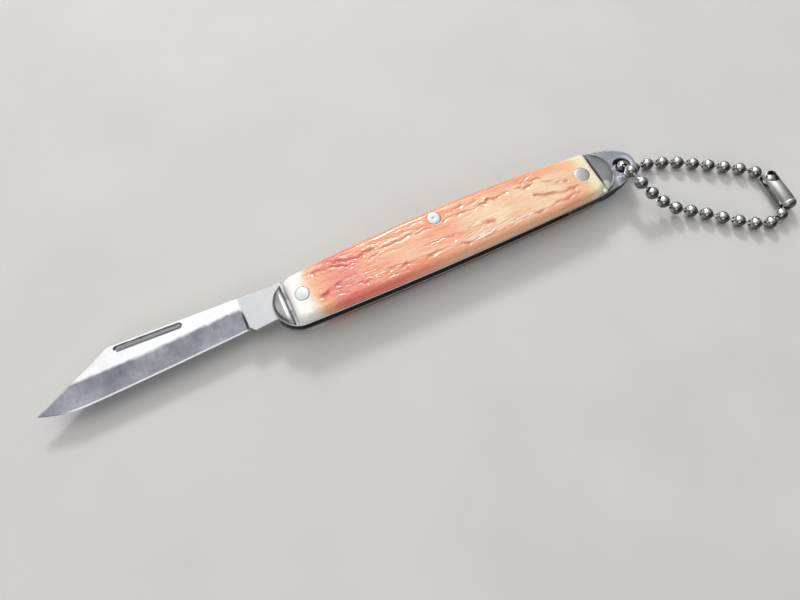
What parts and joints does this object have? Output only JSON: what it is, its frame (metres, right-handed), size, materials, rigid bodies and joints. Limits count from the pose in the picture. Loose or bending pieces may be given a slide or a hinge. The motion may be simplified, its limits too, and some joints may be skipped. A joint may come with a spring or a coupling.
{
  "type": "folding pocket knife",
  "caption": "Folding pen knife with a single clip blade, moulded bone-pattern covers and a loop of ball chain closed by a connector through the tail ring.",
  "frame": {"origin": "on the rear cover's flat outer face, midway between the pivot pin and the tail pin", "axes": "+X along the knife from the blade's tip to the tail, +Y towards the back spring, +Z from the rear cover to the front cover"},
  "size_m": [0.1384, 0.0293, 0.007],
  "materials": {
    "covers": "glossy moulded",
    "liners": "polished",
    "spring": "satin",
    "blade": "polished, ground edge",
    "pins": "polished",
    "chain": "nickel plated"
  },
  "bodies": {
    "handle": {"rear_cover": "covers", "rear_liner": "liners", "back_spring": "spring", "front_liner": "liners", "front_cover": "covers", "pivot_pin": "pins", "spring_pin": "pins", "tail_pin": "pins"},
    "blade": {"blade": "blade"},
    "chain_ball_01": {"chain_ball_01": "chain"},
    "chain_ball_02": {"chain_ball_02": "chain"},
    "chain_ball_03": {"chain_ball_03": "chain"},
    "chain_ball_04": {"chain_ball_04": "chain"},
    "chain_ball_05": {"chain_ball_05": "chain"},
    "chain_ball_06": {"chain_ball_06": "chain"},
    "chain_ball_07": {"chain_ball_07": "chain"},
    "chain_ball_08": {"chain_ball_08": "chain"},
    "chain_ball_09": {"chain_ball_09": "chain"},
    "chain_ball_10": {"chain_ball_10": "chain"},
    "chain_ball_11": {"chain_ball_11": "chain"},
    "chain_ball_12": {"chain_ball_12": "chain"},
    "chain_ball_13": {"chain_ball_13": "chain"},
    "chain_ball_14": {"chain_ball_14": "chain"},
    "chain_ball_15": {"chain_ball_15": "chain"},
    "chain_ball_16": {"chain_ball_16": "chain"},
    "chain_ball_17": {"chain_ball_17": "chain"},
    "chain_ball_18": {"chain_ball_18": "chain"},
    "chain_ball_19": {"chain_ball_19": "chain"},
    "chain_ball_20": {"chain_ball_20": "chain"},
    "chain_ball_21": {"chain_ball_21": "chain"},
    "chain_ball_22": {"chain_ball_22": "chain"},
    "chain_ball_23": {"chain_ball_23": "chain"},
    "chain_ball_24": {"chain_ball_24": "chain"},
    "chain_ball_25": {"chain_ball_25": "chain"},
    "chain_link_01": {"chain_link_01": "chain"},
    "chain_link_02": {"chain_link_02": "chain"},
    "chain_link_03": {"chain_link_03": "chain"},
    "chain_link_04": {"chain_link_04": "chain"},
    "chain_link_05": {"chain_link_05": "chain"},
    "chain_link_06": {"chain_link_06": "chain"},
    "chain_link_07": {"chain_link_07": "chain"},
    "chain_link_08": {"chain_link_08": "chain"},
    "chain_link_09": {"chain_link_09": "chain"},
    "chain_link_10": {"chain_link_10": "chain"},
    "chain_link_11": {"chain_link_11": "chain"},
    "chain_link_12": {"chain_link_12": "chain"},
    "chain_link_13": {"chain_link_13": "chain"},
    "chain_link_14": {"chain_link_14": "chain"},
    "chain_link_15": {"chain_link_15": "chain"},
    "chain_link_16": {"chain_link_16": "chain"},
    "chain_link_17": {"chain_link_17": "chain"},
    "chain_link_18": {"chain_link_18": "chain"},
    "chain_link_19": {"chain_link_19": "chain"},
    "chain_link_20": {"chain_link_20": "chain"},
    "chain_link_21": {"chain_link_21": "chain"},
    "chain_link_22": {"chain_link_22": "chain"},
    "chain_link_23": {"chain_link_23": "chain"},
    "chain_link_24": {"chain_link_24": "chain"},
    "chain_connector": {"chain_connector": "chain"}
  },
  "joints": [
    {"name": "blade_pivot", "type": "hinge", "parent": "handle", "child": "blade", "pos_m": [-0.02775, 0, 0.00325], "axis": [0, 0, 1], "range_deg": [0, 178], "deforming": ["back_spring"]},
    {"name": "ring_swivel", "type": "hinge", "parent": "handle", "child": "chain_ball_14", "pos_m": [0.0369, -0.00055, 0.00325], "axis": [0, 0, 1], "range_deg": [-20, 45]},
    {"name": "chain_link_14_hinge", "type": "hinge", "parent": "chain_ball_14", "child": "chain_link_14", "pos_m": [0.03707, -0.00028, 0.0033], "axis": [0, 0, 1], "range_deg": [-18, 18]},
    {"name": "chain_ball_15_hinge", "type": "hinge", "parent": "chain_link_14", "child": "chain_ball_15", "pos_m": [0.03685, -0.00052, 0.00186], "axis": [0, 0, -1], "range_deg": [-18, 18]},
    {"name": "chain_link_13_hinge", "type": "hinge", "parent": "chain_ball_14", "child": "chain_link_13", "pos_m": [0.03673, -0.00122, 0.005], "axis": [0, 0, -1], "range_deg": [-16.5, 18]},
    {"name": "chain_ball_13_hinge", "type": "hinge", "parent": "chain_link_13", "child": "chain_ball_13", "pos_m": [0.03665, -0.00205, 0.00558], "axis": [0, 0, 1], "range_deg": [-18, 10.5]},
    {"name": "chain_link_12_hinge", "type": "hinge", "parent": "chain_ball_13", "child": "chain_link_12", "pos_m": [0.03675, -0.00395, 0.00613], "axis": [0, 0, -1], "range_deg": [0, 15]},
    {"name": "chain_ball_12_hinge", "type": "hinge", "parent": "chain_link_12", "child": "chain_ball_12", "pos_m": [0.03686, -0.00502, 0.00588], "axis": [0, 0, 1], "range_deg": [-18, 0]},
    {"name": "chain_link_11_hinge", "type": "hinge", "parent": "chain_ball_12", "child": "chain_link_11", "pos_m": [0.03754, -0.00678, 0.00532], "axis": [0, 0, -1], "range_deg": [0, 18]},
    {"name": "chain_ball_11_hinge", "type": "hinge", "parent": "chain_link_11", "child": "chain_ball_11", "pos_m": [0.03814, -0.0074, 0.00468], "axis": [0, 0, -1], "range_deg": [0, 18]},
    {"name": "chain_link_10_hinge", "type": "hinge", "parent": "chain_ball_11", "child": "chain_link_10", "pos_m": [0.03922, -0.00878, 0.00378], "axis": [0, 0, 1], "range_deg": [-18, 0]},
    {"name": "chain_ball_10_hinge", "type": "hinge", "parent": "chain_link_10", "child": "chain_ball_10", "pos_m": [0.03981, -0.00942, 0.00327], "axis": [0, 0, -1], "range_deg": [0, 18]},
    {"name": "chain_link_09_hinge", "type": "hinge", "parent": "chain_ball_10", "child": "chain_link_09", "pos_m": [0.0411, -0.01068, 0.00247], "axis": [0, 0, 1], "range_deg": [-18, 0]},
    {"name": "chain_ball_09_hinge", "type": "hinge", "parent": "chain_link_09", "child": "chain_ball_09", "pos_m": [0.04179, -0.01131, 0.00208], "axis": [0, 0, -1], "range_deg": [0, 18]},
    {"name": "chain_link_08_hinge", "type": "hinge", "parent": "chain_ball_09", "child": "chain_link_08", "pos_m": [0.04331, -0.01246, 0.00159], "axis": [0, 0, -1], "range_deg": [0, 18]},
    {"name": "chain_ball_08_hinge", "type": "hinge", "parent": "chain_link_08", "child": "chain_ball_08", "pos_m": [0.04421, -0.01294, 0.00151], "axis": [0, 0, 1], "range_deg": [-18, 0]},
    {"name": "chain_link_07_hinge", "type": "hinge", "parent": "chain_ball_08", "child": "chain_link_07", "pos_m": [0.04582, -0.01405, 0.0013], "axis": [0, 0, -1], "range_deg": [0, 18]},
    {"name": "chain_ball_07_hinge", "type": "hinge", "parent": "chain_link_07", "child": "chain_ball_07", "pos_m": [0.04666, -0.01461, 0.00124], "axis": [0, 0, 1], "range_deg": [-18, 0]},
    {"name": "chain_link_06_hinge", "type": "hinge", "parent": "chain_ball_07", "child": "chain_link_06", "pos_m": [0.0482, -0.01583, 0.00118], "axis": [0, 0, -1], "range_deg": [0, 18]},
    {"name": "chain_ball_06_hinge", "type": "hinge", "parent": "chain_link_06", "child": "chain_ball_06", "pos_m": [0.04892, -0.01654, 0.00121], "axis": [0, 0, -1], "range_deg": [0, 18]},
    {"name": "chain_link_05_hinge", "type": "hinge", "parent": "chain_ball_06", "child": "chain_link_05", "pos_m": [0.05042, -0.01782, 0.00122], "axis": [0, 0, 1], "range_deg": [-18, 0]},
    {"name": "chain_ball_05_hinge", "type": "hinge", "parent": "chain_link_05", "child": "chain_ball_05", "pos_m": [0.05118, -0.01849, 0.00124], "axis": [0, 0, -1], "range_deg": [0, 18]},
    {"name": "chain_link_04_hinge", "type": "hinge", "parent": "chain_ball_05", "child": "chain_link_04", "pos_m": [0.05273, -0.0197, 0.00126], "axis": [0, 0, 1], "range_deg": [-18, 0]},
    {"name": "chain_ball_04_hinge", "type": "hinge", "parent": "chain_link_04", "child": "chain_ball_04", "pos_m": [0.05349, -0.02038, 0.00125], "axis": [0, 0, -1], "range_deg": [0, 18]},
    {"name": "chain_link_03_hinge", "type": "hinge", "parent": "chain_ball_04", "child": "chain_link_03", "pos_m": [0.05522, -0.02133, 0.00125], "axis": [0, 0, -1], "range_deg": [0, 18]},
    {"name": "chain_ball_03_hinge", "type": "hinge", "parent": "chain_link_03", "child": "chain_ball_03", "pos_m": [0.05614, -0.02185, 0.0012], "axis": [0, 0, 1], "range_deg": [-18, 0]},
    {"name": "chain_link_02_hinge", "type": "hinge", "parent": "chain_ball_03", "child": "chain_link_02", "pos_m": [0.0581, -0.02202, 0.00125], "axis": [0, 0, -1], "range_deg": [0, 18]},
    {"name": "chain_ball_02_hinge", "type": "hinge", "parent": "chain_link_02", "child": "chain_ball_02", "pos_m": [0.05904, -0.02178, 0.00129], "axis": [0, 0, 1], "range_deg": [-18, 0]},
    {"name": "chain_link_01_hinge", "type": "hinge", "parent": "chain_ball_02", "child": "chain_link_01", "pos_m": [0.06084, -0.02099, 0.00143], "axis": [0, 0, -1], "range_deg": [0, 18]},
    {"name": "chain_ball_01_hinge", "type": "hinge", "parent": "chain_link_01", "child": "chain_ball_01", "pos_m": [0.06153, -0.0202, 0.00155], "axis": [0, 0, -1], "range_deg": [0, 18]},
    {"name": "chain_connector_hinge", "type": "hinge", "parent": "chain_ball_01", "child": "chain_connector", "pos_m": [0.06232, -0.01962, 0.00164], "axis": [0, 0, 1], "range_deg": [-18, 0]},
    {"name": "chain_ball_25_hinge", "type": "hinge", "parent": "chain_connector", "child": "chain_ball_25", "pos_m": [0.06266, -0.01444, 0.00164], "axis": [0, 0, -1], "range_deg": [-18, 18]},
    {"name": "chain_link_24_hinge", "type": "hinge", "parent": "chain_ball_25", "child": "chain_link_24", "pos_m": [0.06232, -0.01352, 0.00152], "axis": [0, 0, 1], "range_deg": [-18, 18]},
    {"name": "chain_ball_24_hinge", "type": "hinge", "parent": "chain_link_24", "child": "chain_ball_24", "pos_m": [0.0622, -0.01247, 0.00133], "axis": [0, 0, -1], "range_deg": [0, 18]},
    {"name": "chain_link_23_hinge", "type": "hinge", "parent": "chain_ball_24", "child": "chain_link_23", "pos_m": [0.06107, -0.01085, 0.0012], "axis": [0, 0, -1], "range_deg": [0, 18]},
    {"name": "chain_ball_23_hinge", "type": "hinge", "parent": "chain_link_23", "child": "chain_ball_23", "pos_m": [0.06016, -0.01033, 0.00125], "axis": [0, 0, 1], "range_deg": [-18, 18]},
    {"name": "chain_link_22_hinge", "type": "hinge", "parent": "chain_ball_23", "child": "chain_link_22", "pos_m": [0.05859, -0.00913, 0.00125], "axis": [0, 0, -1], "range_deg": [-18, 18]},
    {"name": "chain_ball_22_hinge", "type": "hinge", "parent": "chain_link_22", "child": "chain_ball_22", "pos_m": [0.05773, -0.00858, 0.00125], "axis": [0, 0, 1], "range_deg": [-18, 18]},
    {"name": "chain_link_21_hinge", "type": "hinge", "parent": "chain_ball_22", "child": "chain_link_21", "pos_m": [0.05608, -0.00749, 0.00125], "axis": [0, 0, -1], "range_deg": [-18, 18]},
    {"name": "chain_ball_21_hinge", "type": "hinge", "parent": "chain_link_21", "child": "chain_ball_21", "pos_m": [0.05521, -0.00696, 0.00125], "axis": [0, 0, -1], "range_deg": [-18, 18]},
    {"name": "chain_link_20_hinge", "type": "hinge", "parent": "chain_ball_21", "child": "chain_link_20", "pos_m": [0.05355, -0.00589, 0.00125], "axis": [0, 0, 1], "range_deg": [-18, 18]},
    {"name": "chain_ball_20_hinge", "type": "hinge", "parent": "chain_link_20", "child": "chain_ball_20", "pos_m": [0.05271, -0.00531, 0.00125], "axis": [0, 0, -1], "range_deg": [-18, 18]},
    {"name": "chain_link_19_hinge", "type": "hinge", "parent": "chain_ball_20", "child": "chain_link_19", "pos_m": [0.05104, -0.00426, 0.00125], "axis": [0, 0, 1], "range_deg": [-18, 18]},
    {"name": "chain_ball_19_hinge", "type": "hinge", "parent": "chain_link_19", "child": "chain_ball_19", "pos_m": [0.05018, -0.0037, 0.00125], "axis": [0, 0, -1], "range_deg": [-18, 18]},
    {"name": "chain_link_18_hinge", "type": "hinge", "parent": "chain_ball_19", "child": "chain_link_18", "pos_m": [0.04844, -0.00278, 0.00125], "axis": [0, 0, -1], "range_deg": [-18, 18]},
    {"name": "chain_ball_18_hinge", "type": "hinge", "parent": "chain_link_18", "child": "chain_ball_18", "pos_m": [0.04751, -0.00235, 0.00125], "axis": [0, 0, 1], "range_deg": [-18, 18]},
    {"name": "chain_link_17_hinge", "type": "hinge", "parent": "chain_ball_18", "child": "chain_link_17", "pos_m": [0.04568, -0.00162, 0.00125], "axis": [0, 0, -1], "range_deg": [-18, 18]},
    {"name": "chain_ball_17_hinge", "type": "hinge", "parent": "chain_link_17", "child": "chain_ball_17", "pos_m": [0.04473, -0.00122, 0.00125], "axis": [0, 0, 1], "range_deg": [-18, 18]},
    {"name": "chain_link_16_hinge", "type": "hinge", "parent": "chain_ball_17", "child": "chain_link_16", "pos_m": [0.0428, -0.00078, 0.00125], "axis": [0, 0, -1], "range_deg": [-18, 18]},
    {"name": "chain_ball_16_hinge", "type": "hinge", "parent": "chain_link_16", "child": "chain_ball_16", "pos_m": [0.04178, -0.00073, 0.00125], "axis": [0, 0, -1], "range_deg": [-18, 18]},
    {"name": "chain_link_15_hinge", "type": "hinge", "parent": "chain_ball_16", "child": "chain_link_15", "pos_m": [0.03981, -0.00057, 0.00125], "axis": [0, 0, 1], "range_deg": [-18, 18]}
  ]
}
